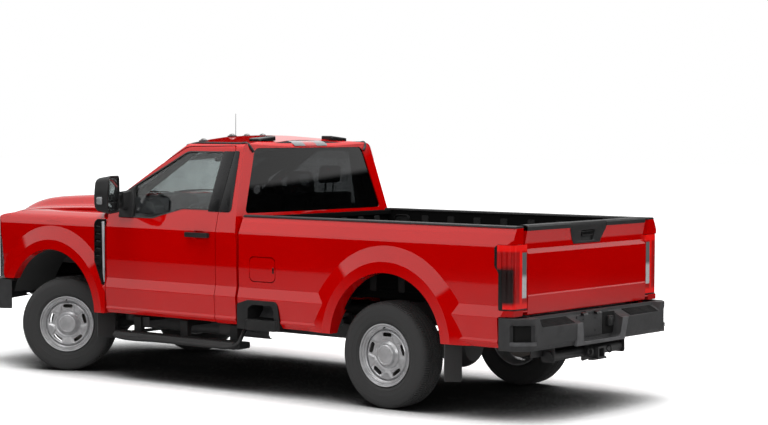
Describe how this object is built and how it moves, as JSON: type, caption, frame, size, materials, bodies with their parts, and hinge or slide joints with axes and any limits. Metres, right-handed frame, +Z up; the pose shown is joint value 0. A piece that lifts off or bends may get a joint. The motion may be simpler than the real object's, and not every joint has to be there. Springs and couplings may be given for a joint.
{
  "type": "pickup truck",
  "caption": "Regular-cab, long-bed four-wheel-drive pickup truck with flared sides, steel wheels, opening doors, hood and tailgate, and front wheels that stand turned to the left.",
  "frame": {"origin": "on the ground under the middle of the overall length and width", "axes": "+X forward, +Y to the driver's left, +Z up"},
  "size_m": [5.888, 2.6664, 2.2],
  "materials": {
    "body_red": "gloss red paint",
    "chassis_black": "black coated steel",
    "cast_metal": "raw casting",
    "bare_steel": "dull steel",
    "black_plastic": "grained black",
    "bed_liner": "sprayed liner",
    "tinted_glass": "dark tint",
    "interior": "grained",
    "seat_cloth": "woven",
    "lamp_amber": "ribbed lens",
    "lamp_clear": "clear lens",
    "lamp_red": "red lens",
    "rubber": "matt",
    "tyre": "matt",
    "wheel_silver": "silver paint"
  },
  "bodies": {
    "chassis": {"frame": "chassis_black", "hitch": "chassis_black", "engine_block": "cast_metal", "driveline": "cast_metal", "exhaust": "bare_steel", "fuel_tank": "black_plastic", "front_axle": "chassis_black", "rear_axle": "chassis_black", "springs": "chassis_black", "cab": "body_red", "cab_glass": "tinted_glass", "dashboard": "interior", "seats": "seat_cloth", "roof_lamps": "lamp_amber", "antenna": "black_plastic", "grille": "black_plastic", "radiator": "chassis_black", "head_lamps": "lamp_clear", "front_bumper": "black_plastic", "fenders": "body_red", "fender_vents": "black_plastic", "front_liners": "black_plastic", "running_boards": "black_plastic", "bed_floor": "bed_liner", "bed_front_wall": "body_red", "bed_sides": "body_red", "rail_caps": "black_plastic", "side_steps": "black_plastic", "tail_lamps": "lamp_red", "rear_bumper": "black_plastic", "mud_flaps": "rubber"},
    "steering_wheel": {"steering_wheel": "interior"},
    "hood": {"hood": "body_red"},
    "door_left": {"door_left": "body_red", "door_glass_left": "tinted_glass", "door_handle_left": "black_plastic", "mirror_left": "black_plastic"},
    "door_right": {"door_right": "body_red", "door_glass_right": "tinted_glass", "door_handle_right": "black_plastic", "mirror_right": "black_plastic"},
    "tailgate": {"tailgate": "body_red", "tailgate_handle": "black_plastic"},
    "fuel_door": {"fuel_door": "body_red"},
    "tie_rod": {"tie_rod": "chassis_black"},
    "knuckle_left": {"knuckle_left": "cast_metal"},
    "knuckle_right": {"knuckle_right": "cast_metal"},
    "wheel_front_left": {"tyre_front_left": "tyre", "wheel_front_left": "wheel_silver"},
    "wheel_front_right": {"tyre_front_right": "tyre", "wheel_front_right": "wheel_silver"},
    "wheel_rear_left": {"tyre_rear_left": "tyre", "wheel_rear_left": "wheel_silver"},
    "wheel_rear_right": {"tyre_rear_right": "tyre", "wheel_rear_right": "wheel_silver"}
  },
  "joints": [
    {"name": "steer_left", "type": "hinge", "parent": "chassis", "child": "knuckle_left", "pos_m": [1.971, 0.742, 0.399], "axis": [0, 0, 1], "range_deg": [-64, 2]},
    {"name": "steer_right", "type": "hinge", "parent": "chassis", "child": "knuckle_right", "pos_m": [1.971, -0.742, 0.399], "axis": [0, 0, 1], "range_deg": [-64, 2]},
    {"name": "tie_rod_end", "type": "hinge", "parent": "knuckle_left", "child": "tie_rod", "pos_m": [1.851, 0.66989, 0.287], "axis": [0, 0, 1], "range_deg": [-2, 64]},
    {"name": "steering_wheel_turn", "type": "hinge", "parent": "chassis", "child": "steering_wheel", "pos_m": [0.771, 0.38, 1.255], "axis": [-0.88, 0, 0.475], "range_deg": [-1097, 43]},
    {"name": "spin_front_left", "type": "hinge", "parent": "knuckle_left", "child": "wheel_front_left", "pos_m": [1.90636, 0.84957, 0.399], "axis": [-0.515, 0.8572, 0], "continuous": true},
    {"name": "spin_front_right", "type": "hinge", "parent": "knuckle_right", "child": "wheel_front_right", "pos_m": [2.03564, -0.84957, 0.399], "axis": [-0.515, 0.8572, 0], "continuous": true},
    {"name": "spin_rear_left", "type": "hinge", "parent": "chassis", "child": "wheel_rear_left", "pos_m": [-1.626, 0.8535, 0.399], "axis": [0, 1, 0], "continuous": true},
    {"name": "spin_rear_right", "type": "hinge", "parent": "chassis", "child": "wheel_rear_right", "pos_m": [-1.626, -0.8535, 0.399], "axis": [0, 1, 0], "continuous": true},
    {"name": "door_left_hinge", "type": "hinge", "parent": "chassis", "child": "door_left", "pos_m": [1.314, 1.004, 1], "axis": [0, 0, -1], "range_deg": [0, 67]},
    {"name": "door_right_hinge", "type": "hinge", "parent": "chassis", "child": "door_right", "pos_m": [1.314, -1.004, 1], "axis": [0, 0, 1], "range_deg": [0, 67]},
    {"name": "hood_hinge", "type": "hinge", "parent": "chassis", "child": "hood", "pos_m": [1.612, 0, 1.488], "axis": [0, -1, 0], "range_deg": [0, 50]},
    {"name": "tailgate_hinge", "type": "hinge", "parent": "chassis", "child": "tailgate", "pos_m": [-2.786, 0, 0.786], "axis": [0, -1, 0], "range_deg": [0, 90]},
    {"name": "fuel_door_hinge", "type": "hinge", "parent": "chassis", "child": "fuel_door", "pos_m": [-0.299, 0.989, 0.977], "axis": [0, 0, -1], "range_deg": [0, 95]}
  ],
  "couplings": [
    {"joint": "steer_right", "follows": "steer_left", "ratio": 1},
    {"joint": "tie_rod_end", "follows": "steer_left", "ratio": -1},
    {"joint": "steering_wheel_turn", "follows": "steer_left", "ratio": 17}
  ]
}
